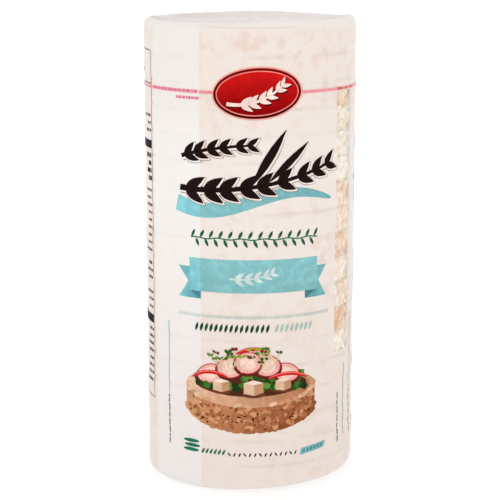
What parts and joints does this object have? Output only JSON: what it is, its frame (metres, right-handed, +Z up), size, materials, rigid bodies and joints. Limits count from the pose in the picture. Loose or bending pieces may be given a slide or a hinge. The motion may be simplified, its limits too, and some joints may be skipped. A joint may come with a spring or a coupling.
{
  "type": "wrapped pack of puffed rice cakes",
  "caption": "Tall round pack of thin puffed rice cakes, stacked face to face and sealed in milky printed film with a clear strip, a tear tape and pleated ends.",
  "frame": {"origin": "middle of the base, on the surface that the pack stands on", "axes": "+Z up along the stack of cakes, -Y towards the printed front, +X to the right as seen from the front"},
  "size_m": [0.0928, 0.0928, 0.2028],
  "materials": {
    "film": "satin",
    "rice_cake": "matte",
    "tear_tape": "satin",
    "printed_ink": "satin"
  },
  "bodies": {
    "root": {"wrapped_cake_stack": "film"}
  },
  "joints": []
}
